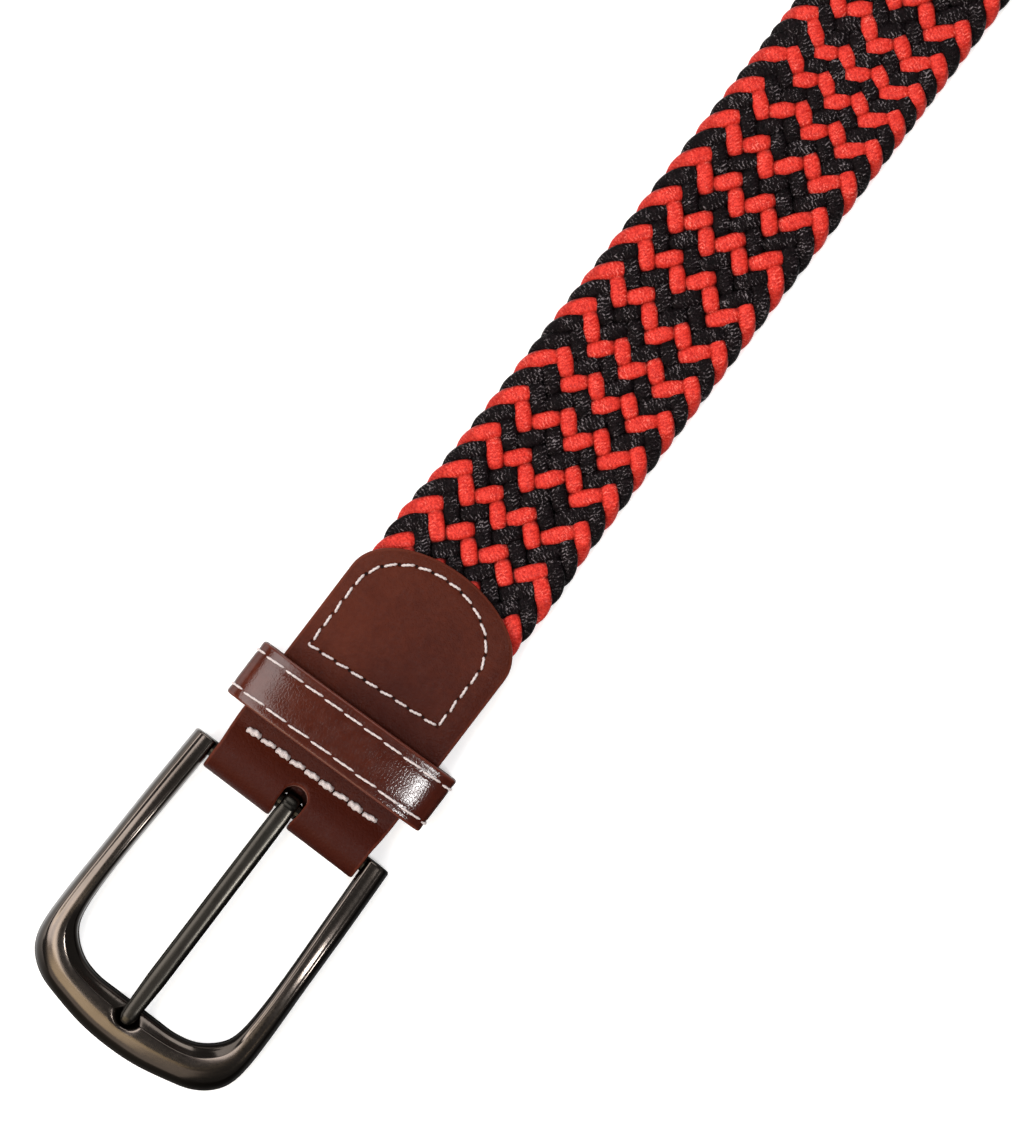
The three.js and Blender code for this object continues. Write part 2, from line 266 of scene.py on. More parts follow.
def edgeMaterial(name, dark, light):
    # The cut edge: fibres lie in fine layers along it
    material, tree, shader, mm = startMaterial(name)
    layered = addNode(tree, "ShaderNodeMapping", {"Vector": mm, "Scale": (0.35, 0.35, 3.0)}).outputs[0]
    fibres = noise(tree, layered, 1.6, 5.0, 0.7)
    colour = mixed(tree, ramp(tree, fibres, 0.3, 0.7), dark, light)
    finishSurface(tree, shader, colour, ramp(tree, fibres, 0.2, 0.8, 0.5, 0.8), fibres, 0.00008)
    return material


metalLook = {
    "dark": (0.086, 0.072, 0.061), "light": (0.105, 0.089, 0.078), "roughness": (0.16, 0.19),
    "stretch": (5.0, 1.2, 5.0), "bump": 0.0000003,
}
# the prong's metal is darker than the frame's: painted shade, also used on the hinge bar
prongLook = {
    "dark": (0.03, 0.027, 0.023), "light": (0.039, 0.036, 0.031), "roughness": (0.24, 0.26),
    "stretch": (0.06, 3.0, 3.0), "bump": 0.0000003,
}


def gunmetalMaterial(name, look):
    # Brushing: noise that is finer in some directions than in others, and broad clouds
    material, tree, shader, mm = startMaterial(name)
    brushed = addNode(tree, "ShaderNodeMapping", {"Vector": mm, "Scale": look["stretch"]}).outputs[0]
    lines = noise(tree, brushed, 1.0, 2.0, 0.5)
    clouds = noise(tree, mm, 0.12, 3.0)
    shade = calc(tree, "ADD", calc(tree, "MULTIPLY", lines, 0.3), calc(tree, "MULTIPLY", clouds, 0.7))
    colour = mixed(tree, ramp(tree, shade, 0.3, 0.7), look["dark"], look["light"])
    roughness = ramp(tree, lines, 0.3, 0.7, *look["roughness"])
    finishSurface(tree, shader, colour, roughness, lines, look["bump"], {"Metallic": 1.0})
    return material


cordLook = {
    "threadPitch": 0.66, "plaits": 12, "slant": 0.5, "wander": (1.5, 0.3, 0.0), "deepAt": 0.56, "openAt": 0.9,
    "black": {"low": (0.001, 0.0005, 0.0008), "high": (0.0115, 0.0065, 0.0078), "paintedGlint": (0.21, 0.18, 0.19),
              "paintedShade": (0.0004, 0.0001, 0.0002), "shine": (0.9, 1.22), "bump": 0.00008, "gloss": 0.06},
    "red": {"low": (0.44, 0.008, 0.005), "high": (0.88, 0.06, 0.038), "paintedGlint": (1.0, 0.2, 0.15),
            "paintedShade": (0.03, 0.0004, 0.0002), "shine": (0.88, 1.36), "bump": 0.000022, "gloss": 0.14},
}


def cordMaterial(name, look, tone):
    # A knitted sleeve: columns of slanted threads round the cord, mirrored from one column to the next
    material, tree, shader, mm = startMaterial(name)
    uv = addNode(tree, "ShaderNodeUVMap", uv_map="threads").outputs[0]
    wander = addNode(tree, "ShaderNodeVectorMath", {0: noise(tree, mm, 1.4, 3.0), 1: look["wander"]},
                     operation="MULTIPLY").outputs[0]
    uv = addNode(tree, "ShaderNodeVectorMath", {0: uv, 1: wander}, operation="ADD").outputs[0]
    parts = addNode(tree, "ShaderNodeSeparateXYZ", {0: uv})
    column = calc(tree, "PINGPONG", calc(tree, "MULTIPLY", parts.outputs[1], float(look["plaits"])), 1.0)
    slanted = calc(tree, "ADD", calc(tree, "DIVIDE", parts.outputs[0], look["threadPitch"]),
                   calc(tree, "MULTIPLY", column, look["slant"]))
    thread = calc(tree, "ABSOLUTE", calc(tree, "SINE", calc(tree, "MULTIPLY", slanted, np.pi)))
    groove = calc(tree, "MULTIPLY", ramp(tree, column, 0.0, 0.16), ramp(tree, column, 0.84, 1.0, 1.0, 0.0))
    height = calc(tree, "MULTIPLY", thread, calc(tree, "ADD", calc(tree, "MULTIPLY", groove, 0.7), 0.3))
    fuzz = noise(tree, mm, 2.6, 4.0, 0.7)
    # random mottling, with a little painted shade in the grooves between threads
    mottled = calc(tree, "ADD", calc(tree, "MULTIPLY", height, 0.1), noise(tree, mm, 1.6, 4.0, 0.9))
    colour = mixed(tree, ramp(tree, mottled, 0.38, 0.78), tone["low"], tone["high"])
    # painted highlights: single threads lighter on their ridges, in loose groups
    groups = calc(tree, "ADD", noise(tree, mm, 0.45, 2.0), noise(tree, mm, 2.2, 3.0, 0.8))
    paintedGlint = ramp(tree, calc(tree, "MULTIPLY", height, groups), *tone["shine"])
    colour = mixed(tree, paintedGlint, colour, tone["paintedGlint"])
    # painted shade: darker the deeper a place lies between its neighbours
    openness = ramp(tree, painted(tree, "exposed"), look["deepAt"], look["openAt"])
    colour = mixed(tree, openness, tone["paintedShade"], colour)
    bumpHeight = calc(tree, "ADD", height, calc(tree, "MULTIPLY", fuzz, 0.5))
    finishSurface(tree, shader, colour, ramp(tree, fuzz, 0.3, 0.7, 0.3, 0.5), bumpHeight, tone["bump"],
                  {"Specular IOR Level": tone["gloss"]})
    return material


threadLook = {"dark": (0.45, 0.37, 0.36), "light": (0.82, 0.74, 0.73), "bump": 0.00008}


def threadMaterial(name, look):
    # Waxed thread: one fine noise in colour, gloss and surface
    material, tree, shader, mm = startMaterial(name)
    fuzz = noise(tree, mm, 4.0, 4.0, 0.7)
    colour = mixed(tree, ramp(tree, fuzz, 0.3, 0.7), look["dark"], look["light"])
    finishSurface(tree, shader, colour, ramp(tree, fuzz, 0.3, 0.7, 0.4, 0.6), fuzz, look["bump"])
    return material


brownLeather = leatherMaterial("brown leather", leatherLook)
keeperLeather = leatherMaterial("brown leather of the keeper", keeperLook)
tipLeather = leatherMaterial("brown leather of the tip", tipLook)
paintedEdge = edgeMaterial("painted leather edge", (0.075, 0.019, 0.012), (0.14, 0.038, 0.026))
rawEdge = edgeMaterial("cut slot edge", (0.16, 0.06, 0.045), (0.34, 0.16, 0.13))
gunmetal = gunmetalMaterial("brushed gunmetal", metalLook)
prongMetalShaded = gunmetalMaterial("brushed gunmetal of the prong", prongLook)
blackCord = cordMaterial("black cord", cordLook, cordLook["black"])
redCord = cordMaterial("red cord", cordLook, cordLook["red"])
thread = threadMaterial("off-white thread", threadLook)
print("materials made")

# The braid: 17 cords, each over two and under two, turning round at the edges

braid = {
    "cords": 17, "start": 89.0, "end": 969.0, "mirror": 1051.0, "step": 2.211, "anchor": 154.178,
    "bow": 0.009, "shear": -0.079, "shearFrom": 17.8, "edgeRoom": 1.1, "edgeLight": 0.78,
    "halfWidth": 1.72, "halfThickness": 0.97, "power": 0.93, "fullThickness": 4.2,
    "rise": 1.1, "steep": 1.5, "steepest": 1.25, "ringsPerStep": 4, "sides": 12,
}
cycle, middlePlace = 2 * braid["cords"], (braid["cords"] - 1) / 2
# Along, middle height, full thickness and half width of the braid, the same from its other end
braidShape = np.array([
    [87, 3.2, 2.4, 15.6], [91, 3.4, 2.8, 15.7], [95, 3.5, 3.0, 15.9], [106, 3.5, 3.0, 16.2],
    [112, 3.2, 2.4, 16.45], [117, 2.65, 3.4, 16.2], [123, 2.1, 4.2, 15.8], [150, 2.1, 4.2, 15.6],
])
# How far the braid is drawn up on itself, by its own length: shorter steps where this grows
drawnUp = curveThrough([[150, 0], [168, 1.2], [185, 1.5], [210, 0.7], [228, 3.4], [240, 6.7], [254, 9.3]], 6)
# Steps of a cord's cycle and its place across, 0 to 16 and back. It comes to the edge early, from below, and
# lies along it for two steps.
acrossAndBack = np.array([[0, 0], [13, 13], [15, 16], [17, 16], [30, 3], [32, 0], [34, 0]])
# Over (+) or under (-) at each crossing of the cycle
crossings = np.array(([1, 1, -1, -1] * 4 + [0]) * 2, float)


def braidAt(along):
    # Middle height, thickness and half width by straight lines between the rows, mirrored at the far end
    fromEnd = np.minimum(along, braid["mirror"] - along)
    return [np.interp(fromEnd, braidShape[:, 0], braidShape[:, i]) for i in (1, 2, 3)]


def placeAcross(phase):
    return np.interp(phase % cycle, *acrossAndBack.T)


def cordPath(number):
    # Across: the place in the cycle. Up: the crossings joined by a cubic and held by a tanh. Along: even
    # steps, drawn up, sheared by y and bowed by its square.
    rate = braid["ringsPerStep"]
    count = int((braid["end"] - braid["start"]) / braid["step"] * rate)
    base = braid["start"] + np.arange(count) * braid["step"] / rate
    phase = (base - braid["anchor"]) / braid["step"] + 2 * number
    # the corners are rounded by a mean that reaches one step to either side
    place = np.mean([placeAcross(phase + shift) for shift in np.linspace(-1, 1, 11)], axis=0)
    index = np.floor(phase - 0.5).astype(int)
    lift = cubic(*(crossings[(index + i) % cycle] for i in (-1, 0, 1, 2)), phase - 0.5 - index)
    lift = braid["rise"] * np.tanh(braid["steep"] * lift) / np.tanh(braid["steep"] * braid["steepest"])
    middle, thickness, halfWidth = braidAt(base)
    y = (halfWidth - braid["edgeRoom"]) / middlePlace * (middlePlace - place)
    along = base - np.interp(base, *drawnUp.T)
    along = along + braid["shear"] * (y - braid["shearFrom"]) + braid["bow"] * y ** 2
    height = middle + thickness / braid["fullThickness"] * lift
    return beside(along, y, height), place, middle, thickness


def braidCord(number):
    # A near ellipse carried along the path, as flat as the braid is pressed there
    centre, place, middle, thickness = cordPath(number)
    sides = braid["sides"]
    tangent = unit(np.gradient(centre, axis=0))
    side = unit(np.cross([0, 0, 1.0], tangent))
    normal = np.cross(tangent, side)
    angle = np.arange(sides) / sides * 2 * np.pi
    flat = braid["halfWidth"] * signedPower(np.cos(angle), braid["power"])
    tall = (braid["halfThickness"] * (thickness / braid["fullThickness"]))[:, None] * np.sin(angle)
    points = centre[:, None] + side[:, None] * flat[:, None] + normal[:, None] * tall[..., None]
    # thread coordinates: millimetres along the cord and turns round it
    length = arcLength(centre)
    u = beside(length[:-1], length[:-1], length[1:], length[1:])[:, None, :]
    turn = np.arange(sides)[None, :, None] / sides + np.array([0, 1, 1, 0]) / sides
    uv = beside(u, turn).reshape(-1, 2)
    ends = np.zeros((4 * 2 * (sides // 2 - 1), 2))
    # how far out each point lies, which sets the painted shade between cords: the cords along the edges lie
    # open too
    exposed = np.abs(points[..., 2] - middle[:, None]) / (thickness / 2)[:, None]
    atEdge = smoothRise(0.86, 0.97, np.abs(place - middlePlace) / middlePlace)
    exposed = np.maximum(exposed, braid["edgeLight"] * atEdge[:, None])
    colour, material = ("red", redCord) if number % 2 else ("black", blackCord)
    piece = addPiece("cord_%s_%d" % (colour, number // 2 + 1), "belt", points,
                     tubeFaces(len(centre), sides), [material], attributes={"exposed": exposed},
                     uv=np.vstack([uv, ends]))
    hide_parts("braided_band")


for number in range(braid["cords"]):
    braidCord(number)
print("braid made")

# Leather sheets: a grid in developed coordinates, laid on a path and given thickness with rounded edges

edgeSteps = np.array([0, 0.03, 0.12, 0.27, 0.5, 0.85, 1.3])  # the last rows at an edge, from it inwards


def toEdge(length, step, bothEnds=False):
    # Places from 0 to length, a step apart and closer together near the edge
    start = edgeSteps if bothEnds else np.zeros(1)
    inner = np.arange(start[-1] + step, length - edgeSteps[-1] - step / 2, step)
    return np.concatenate([start, inner, (length - edgeSteps)[::-1]])


def stripGrid(length, widest, endA, endB, reach, step, widthAt=None, hole=None, lines=()):
    # Columns run across in two halves from the middle out, rows run along. Both ends are half ellipses of the
    # lengths endA and endB, and the last rows bend over a distance of reach until they follow them.
    share = toEdge(widest, step, bothEnds=hole is not None) / widest
    side = np.concatenate([-share[::-1], share])
    bend = toEdge(reach, step) / reach
    fixed = np.arange(reach + step, length - reach - step / 2, step)
    if len(lines):
        fixed = fixed[np.abs(fixed[:, None] - lines).min(axis=1) > step / 3]
    fixed = np.sort(np.concatenate([fixed, lines]))
    first, last = slice(0, len(bend)), slice(len(bend) + len(fixed), None)
    u = np.concatenate([np.full(len(bend), reach), fixed, np.full(len(bend), length - reach)])
    width = np.full(len(u), widest) if widthAt is None else widthAt(u)
    gapHalf = np.zeros(len(u)) if hole is None else hole(u)
    y = np.sign(side) * gapHalf[:, None] + side * (width - gapHalf)[:, None]
    y[:, len(share) - 1], y[:, len(share)] = -gapHalf, gapHalf
    curve = np.sqrt(np.maximum(1 - (y / width[:, None]) ** 2, 0))
    rows = np.repeat(u[:, None], y.shape[1], axis=1)
    rows[first] = reach - bend[::-1, None] * (reach - endA * (1 - curve[first]))
    rows[last] = length - reach + bend[:, None] * (reach - endB * (1 - curve[last]))
    return rows, y, width[:, None], gapHalf


def insideEnd(beyond, y, reach, width):
    # How far inside a half ellipse a point lies, or inside straight sides where beyond is negative
    part = np.maximum(beyond, 0) / reach
    ratio = np.maximum(np.sqrt(part ** 2 + (y / width) ** 2), 1e-9)
    slope = np.sqrt((part / reach) ** 2 + (y / width ** 2) ** 2) / ratio
    return np.maximum(1 - ratio, 0) / np.maximum(slope, 1e-9)


def nearestOnLine(points, line):
    # Distance to the nearest place of a line of straight pieces, and how far along the line that is
    a, b = line[:-1], line[1:]
    run = b - a
    t = np.clip(((points[:, None] - a) * run).sum(axis=2) / (run ** 2).sum(axis=1), 0, 1)
    distance = np.linalg.norm(points[:, None] - a - t[..., None] * run, axis=2)
    best = distance.argmin(axis=1)
    pick = np.arange(len(points))
    return distance[pick, best], arcLength(line)[best] + t[pick, best] * np.linalg.norm(run, axis=1)[best]


def roundOver(rim, edge):
    # How far a face has sunk at the distance rim from its outline: a quarter circle of radius edge
    return edge - np.sqrt(np.maximum(edge ** 2 - np.maximum(edge - rim, 0) ** 2, 0))


def sheetPiece(name, node, outer, normal, rim, edge, gapHalf, materials, attributes):
    # Both faces are rounded over at the rim and joined by a wall, and the halves are welded but for the slot
    rows, columns = rim.shape
    lift = roundOver(rim, edge)
    top = outer - normal * lift[..., None]
    bottom = outer - normal * (leather - lift)[..., None]
    count, half = rows * columns, columns // 2
    number = np.arange(count).reshape(rows, columns)

    def sheet(grid):
        return grid.ravel()[gridFaces(*grid.shape)]

    def wall(line):
        return beside(line[1:], line[:-1], line[:-1] + count, line[1:] + count)

    faceTop = np.vstack([sheet(number[:, :half]), sheet(number[:, half:])])
    ends = [wall(number[0, :half]), wall(number[0, half:]), wall(number[-1, :half])[:, ::-1],
            wall(number[-1, half:])[:, ::-1]]
    outline = np.vstack([wall(number[:, 0])[:, ::-1], wall(number[:, -1]), *ends])
    openRows = (gapHalf[:-1] > 0) | (gapHalf[1:] > 0)
    slotWalls = np.vstack([wall(number[:, half - 1])[openRows], wall(number[:, half])[:, ::-1][openRows]])
    faces = np.vstack([faceTop, faceTop[:, ::-1] + count, outline, slotWalls])
    kinds = np.repeat([0, 1, 2], [2 * len(faceTop), len(outline), len(slotWalls)])
    doubled = {key: np.tile(values.ravel(), 2) for key, values in attributes.items()}
    points = np.vstack([top.reshape(-1, 3), bottom.reshape(-1, 3)])
    piece = addPiece(name, "belt", points, faces, materials, kinds, doubled, weld=True)
    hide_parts(node)


def pathNormals(path):
    # The path's direction turned left: outwards, because it runs clockwise round the leather
    tangent = unit(np.gradient(path, axis=0))
    return beside(-tangent[:, 1], tangent[:, 0])


def onPath(place, path):
    # Along, height and normal of developed places on a path in the side view
    arc = arcLength(path)
    along, height, aside, up = (np.interp(place, arc, column) for column in (*path.T, *pathNormals(path).T))
    return along, height, unit(beside(aside, 0.0, up))


tab = {
    "halfWidth": 18.1, "foldHalfWidth": 17.65, "stepStart": 58.0, "stepEnd": 66.0, "end": 111.6,
    "endReach": 11.1, "bendReach": 27.0, "step": 0.62, "edge": 0.5, "groove": 0.14, "grooveWidth": 0.6,
    "slotHalf": 2.5, "slotEnd": 59.1, "slotShort": 1.85, "pinch": 0.45, "pinched": (1.5, 6.5),
    "slotRim": 0.25, "crown": 0.55, "crownFrom": 14.8, "crownAlong": (82.0, 87.0),
    "top": [(56.9, 7.4), (59.3, 7.35), (61.5, 6.7), (64, 5.75), (67, 5.6), (76, 5.62), (81, 5.92), (86, 6.48),
            (91, 6.88), (95, 7.0), (107, 7.0), (111.6, 6.4)],
}
panelStitch = {
    "pitch": 3.3, "length": 2.75, "radius": 0.25, "left": 85.9, "skew": -2.3, "low": -13.3, "high": 15.3,
    "curveFrom": 98.0, "curveReach": 11.0,
}
rowStitch = {
    "pitch": 3.4, "length": 3.4, "radius": 0.58, "askew": 0.09, "loose": 0.08, "uneven": 0.16, "twist": 1.1,
    "along": 64.3, "skew": -0.02, "reach": 15.2,
}


def panelLine():
    # The stitched outline of the rounded end: a slanting line, two straight ones and half an ellipse
    p = panelStitch
    middle, half = (p["low"] + p["high"]) / 2, (p["high"] - p["low"]) / 2
    turn = np.linspace(np.pi / 2, -np.pi / 2, 41)
    bow = beside(p["curveFrom"] + p["curveReach"] * np.cos(turn), middle + half * np.sin(turn))
    start = [p["left"], p["low"]]
    return np.vstack([start, [p["left"] + p["skew"], p["high"]], bow, start])


def rowLine():
    # A straight row, a little out of square
    y = np.array([rowStitch["reach"], -rowStitch["reach"]])
    return beside(rowStitch["along"] + rowStitch["skew"] * y, y)


def holesFor(along, y, rows):
    # For the needle holes and the groove: the nearest stitch line's distance, place in stitches and pitch
    points = beside(along, y).reshape(-1, 2)
    found = []
    for line, pitch in rows:
        distance, place = nearestOnLine(points, line)
        length = arcLength(line)[-1]
        count = max(round(length / pitch), 1)
        found.append((distance, place / length * count + 0.5, np.full(len(points), float(pitch))))
    nearest = np.argmin([row[0] for row in found], axis=0)
    pick = np.arange(len(points))
    return [np.array([row[i] for row in found])[nearest, pick].reshape(along.shape) for i in range(3)]


def tabPath():
    # The outer face in the side view: the back layer, half a circle round the bar and the front layer
    turn = np.linspace(-np.pi / 2, -3 * np.pi / 2, 60)[1:-1]
    fold = beside(barAlong + barHeight * np.cos(turn), barHeight + barHeight * np.sin(turn))
    back = beside(np.linspace(tab["end"], barAlong, 120), 0.0)
    return np.vstack([back, fold, curveThrough(tab["top"], 10)])


def leatherTab():
    # The strip laid on its path, with a slot through the fold, grooved under its stitches, crowned at its end
    path = tabPath()
    length = arcLength(path)[-1]
    foldMiddle = tab["end"] - barAlong + np.pi * barHeight / 2
    straight = np.pi * barHeight / 2 + tab["slotEnd"] - barAlong

    def fromFold(u):
        # distance from the middle of the fold, with the back layer's slot drawn out to the front one's
        drawn = (foldMiddle - u) * straight / (straight - tab["slotShort"])
        return np.where(u < foldMiddle, drawn, u - foldMiddle)

    def pinched(away):
        # the slot is drawn together in the fold
        return tab["pinch"] * (1 - smoothRise(*tab["pinched"], away))

    def hole(u):
        # half the slot's width, with round ends
        away = fromFold(u)
        rounded = np.sqrt(np.maximum(tab["slotHalf"] ** 2 - np.maximum(away - straight, 0) ** 2, 0))
        return rounded - pinched(away)

    def widthAt(u):
        # half the strip's width, less in the fold
        along = np.interp(u, arcLength(path), path[:, 0])
        grown = smoothRise(tab["stepStart"], tab["stepEnd"], along)
        return tab["foldHalfWidth"] + (tab["halfWidth"] - tab["foldHalfWidth"]) * grown

    slotReach = straight + tab["slotHalf"]
    roundings = slotReach - tab["slotHalf"] * (1 - np.cos(np.linspace(0, np.pi / 2, 14)))
    lines = np.concatenate([foldMiddle - roundings * (straight - tab["slotShort"]) / straight,
                            foldMiddle + roundings])
    rows, y, width, gapHalf = stripGrid(length, tab["halfWidth"], tab["endReach"], tab["endReach"],
                                        tab["bendReach"], tab["step"], widthAt, hole, lines)
    along, height, normal = onPath(rows, path)
    beyond = np.maximum(tab["endReach"] - rows, rows - (length - tab["endReach"]))
    outlineRim = insideEnd(beyond, y, tab["endReach"], width)
    slotRim = np.hypot(np.maximum(fromFold(rows) - straight, 0), y) - tab["slotHalf"]
    slotRim += pinched(fromFold(rows))
    rim = np.maximum(np.minimum(outlineRim, slotRim), 0)
    stitched = [(panelLine(), panelStitch["pitch"]), (rowLine(), rowStitch["pitch"])]
    distance, place, pitch = holesFor(along, y, stitched)
    outer = beside(along, y, height)
    sink = tab["groove"] * np.exp(-(distance / tab["grooveWidth"]) ** 2)
    crown = tab["crown"] * smoothRise(tab["crownFrom"], tab["halfWidth"], np.abs(y))
    sink += np.where(rows > foldMiddle, crown * smoothRise(*tab["crownAlong"], along), 0)
    away = np.where(np.abs(rows - foldMiddle) < slotReach + 1, farAway, distance)
    sheetPiece("leather_tab_folded", "leather_tab", outer - normal * sink[..., None], normal, rim,
               tab["edge"], gapHalf, [brownLeather, paintedEdge, rawEdge],
               {"rim": np.minimum(outlineRim, slotRim + tab["slotRim"]), "stitchAlong": place,
                "stitchAcross": away, "stitchPitch": pitch})


leatherTab()
print("tab made")

# The keeper: a loop of leather, flat underneath and arched on top

keeper = {
    "start": 67.7, "width": 11.9, "halfWidth": 22.4, "low": 2.0, "high": 12.5, "arch": 4.0, "flat": 8.0,
    "skew": -0.018, "edge": 0.45, "count": 220, "step": 0.6, "inset": 2.0, "thickness": 1.6,
    "groove": 0.12, "grooveWidth": 0.6,
}
# The row nearer the buckle and the row nearer the braid
keeperRows = [{"pitch": pitch, "length": length, "radius": 0.22, "askew": 0.05, "loose": 0.02}
              for pitch, length in ((5.25, 5.05), (4.6, 4.4))]


def keeperPath():
    # Two half superellipses of one width: power arch above the middle and power flat below it
    angle = np.linspace(0, 2 * np.pi, 4001)
    power = np.where(np.sin(angle) >= 0, keeper["arch"], keeper["flat"])
    y = keeper["halfWidth"] * signedPower(np.cos(angle), 2 / power)
    middle, half = (keeper["low"] + keeper["high"]) / 2, (keeper["high"] - keeper["low"]) / 2
    z = middle + half * signedPower(np.sin(angle), 2 / power)
    dense = beside(y, z)
    arc = arcLength(dense)
    even = np.linspace(0, arc[-1], keeper["count"], endpoint=False)
    return valuesAt(even, arc, dense), arc[-1]


def keeperLoop():
    # The path carried across the keeper's width, thickened inwards and rounded over at both rims
    path, length = keeperPath()
    tangent = unit(np.roll(path, -1, axis=0) - np.roll(path, 1, axis=0))
    outwards = beside(0.0, tangent[:, 1], -tangent[:, 0])
    across = toEdge(keeper["width"], keeper["step"], bothEnds=True)
    rim = np.minimum(across, keeper["width"] - across)
    lift = roundOver(rim, keeper["edge"])
    toRow = np.minimum(np.abs(across - keeper["inset"]), np.abs(keeper["width"] - keeper["inset"] - across))
    sink = keeper["groove"] * np.exp(-(toRow / keeper["grooveWidth"]) ** 2)
    shape = (len(path), len(across))
    base = beside(keeper["start"] + across, path[:, :1], path[:, 1:])
    base[..., 0] += keeper["skew"] * base[..., 1]
    outer = base - outwards[:, None] * (lift + sink)[:, None]
    inner = base - outwards[:, None] * (keeper["thickness"] - lift)[:, None]
    count = shape[0] * shape[1]
    number = np.arange(count).reshape(shape)
    sheet = gridFaces(*shape, aroundRows=True)
    walls = []
    for line, turn in ((number[:, 0], -1), (number[:, -1], 1)):
        after = np.roll(line, -1)
        walls.append(beside(after, line, line + count, after + count)[:, ::turn])
    faces = np.vstack([sheet, sheet[:, ::-1] + count, *walls])
    kinds = np.repeat([0, 1], [2 * len(sheet), 2 * shape[0]])
    pitch = np.where(across < keeper["width"] / 2, keeperRows[0]["pitch"], keeperRows[1]["pitch"])
    place = (np.arange(shape[0]) / shape[0] * length)[:, None] / pitch
    attributes = {"rim": np.broadcast_to(rim, shape), "stitchAcross": np.broadcast_to(toRow, shape),
                  "stitchAlong": place, "stitchPitch": np.broadcast_to(pitch, shape)}
    doubled = {key: np.tile(values.ravel(), 2) for key, values in attributes.items()}
    points = np.vstack([outer.reshape(-1, 3), inner.reshape(-1, 3)])
    piece = addPiece("keeper_leather", "belt", points, faces, [keeperLeather, paintedEdge],
                     kinds, doubled)
    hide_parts("keeper_loop")


keeperLoop()
print("keeper made")

# The tip: two layers sewn over the far end of the braid

tip = {
    "start": 940.0, "halfWidth": 17.6, "startReach": 9.0, "endReach": 18.0, "bendReach": 24.0, "step": 0.8,
    "edge": 0.5, "inset": 3.0, "groove": 0.14, "grooveWidth": 0.6,
    "crown": 0.5, "crownFrom": 14.5, "crownAlong": (966.0, 976.0),
    "front": [(940, 6.4), (945, 6.95), (952, 7.0), (959, 7.0), (966, 7.0), (971, 5.5), (976, 3.95),
              (982, 3.7), (990, 3.7), (1005, 3.7), (1028, 3.7), (1050, 3.7)],
    "back": [(1050, 0.0), (940, 0.0)],
}
tipStitch = {"pitch": 3.3, "length": 2.75, "radius": 0.25}


def tipOutline(inset):
    # The tip's outline drawn in by inset: half an ellipse at each end and straight sides
    turn = np.linspace(-np.pi / 2, np.pi / 2, 31)
    free = beltLength - tip["endReach"] + (tip["endReach"] - inset) * np.cos(turn)
    near = tip["start"] + tip["startReach"] - (tip["startReach"] - inset) * np.cos(turn)
    across = (tip["halfWidth"] - inset) * np.sin(turn)
    outline = np.vstack([beside(free, across), beside(near, -across)])
    return np.vstack([outline, outline[:1]])


def tipLayer(name, node, front):
    # A strip laid on its path, with a groove under the stitches and, in front, a crown over the braid
    path = curveThrough(tip["front"], 12) if front else np.array(tip["back"])
    length = arcLength(path)[-1]
    reaches = (tip["startReach"], tip["endReach"]) if front else (tip["endReach"], tip["startReach"])
    rows, y, width, gapHalf = stripGrid(length, tip["halfWidth"], *reaches, tip["bendReach"], tip["step"])
    along, height, normal = onPath(rows, path)
    rim = np.minimum(insideEnd(reaches[0] - rows, y, reaches[0], width),
                     insideEnd(rows - (length - reaches[1]), y, reaches[1], width))
    distance, place, pitch = holesFor(along, y, [(tipOutline(tip["inset"]), tipStitch["pitch"])])
    sink = tip["groove"] * np.exp(-(distance / tip["grooveWidth"]) ** 2)
    if front:
        crown = tip["crown"] * smoothRise(tip["crownFrom"], tip["halfWidth"], np.abs(y))
        sink += crown * (1 - smoothRise(*tip["crownAlong"], along))
    outer = beside(along, y, height) - normal * sink[..., None]
    sheetPiece(name, node, outer, normal, rim, tip["edge"], gapHalf, [tipLeather, paintedEdge],
               {"rim": rim, "stitchAlong": place, "stitchAcross": distance, "stitchPitch": pitch})


tipLayer("tip_leather_front", "tip_front", True)
tipLayer("tip_leather_back", "tip_back", False)
print("tip made")

# Stitches: two twisted threads between each two needle holes

stitchShape = {
    "rings": 13, "sides": 8, "plies": 0.22, "twist": 1.6, "uneven": 0.0, "askew": 0.1, "loose": 0.05,
}


def stitches(name, runs):
    # Each run is a line on the leather, its normals and its stitches' own values. A stitch is a tube whose
    # section is drawn out to two sides and turns along it, and whose ends go down into the leather.
    q = np.linspace(-1, 1, stitchShape["rings"])
    angle = np.arange(stitchShape["sides"]) / stitchShape["sides"] * 2 * np.pi
    made = []
    for line, normals, values in runs:
        look = {**stitchShape, **values}
        arc = arcLength(line)
        count = max(round(arc[-1] / look["pitch"]), 1)
        where = ((np.arange(count) + 0.5) / count * arc[-1])[:, None] + q * look["length"] / 2
        centre, ahead, back = (valuesAt(where + shift, arc, line) for shift in (0, 0.2, -0.2))
        up = unit(valuesAt(where, arc, normals))
        side = unit(np.cross(up, unit(ahead - back)))
        # each stitch is a little thicker or thinner than the last
        radius = look["radius"] * (1 + look["uneven"] * np.sin(np.arange(count) * 3.7 + 1))[:, None]
        size = radius * np.sqrt(np.maximum(1 - np.abs(q) ** 5, 0.02))
        height = radius * (0.75 - 1.5 * np.abs(q) ** 4)
        twist = look["twist"] * np.pi * q[:, None]
        ring = size[..., None] * (1 + stitchShape["plies"] * np.cos(2 * (angle - twist)))
        # and lies a little askew
        skew = look["askew"] + look["loose"] * np.sin(np.arange(count) * 2.4)[:, None]
        centre = centre + up * height[..., None] + side * (skew * q * look["length"] / 2)[..., None]
        made.append((centre[:, :, None] + side[:, :, None] * (ring * np.cos(angle))[..., None]
                     + up[:, :, None] * (ring * np.sin(angle))[..., None]).reshape(count, -1, 3))
    points = np.concatenate(made)
    each = tubeFaces(stitchShape["rings"], stitchShape["sides"])
    faces = (each[None] + (np.arange(len(points)) * points.shape[1])[:, None, None]).reshape(-1, 4)
    addPiece(name, "belt", points, faces, [thread])


def denser(line, step):
    # The same line with points at most a step apart
    arc = arcLength(line)
    places = np.unique(np.concatenate([arc, np.arange(0, arc[-1], step)]))
    return valuesAt(places, arc, line)


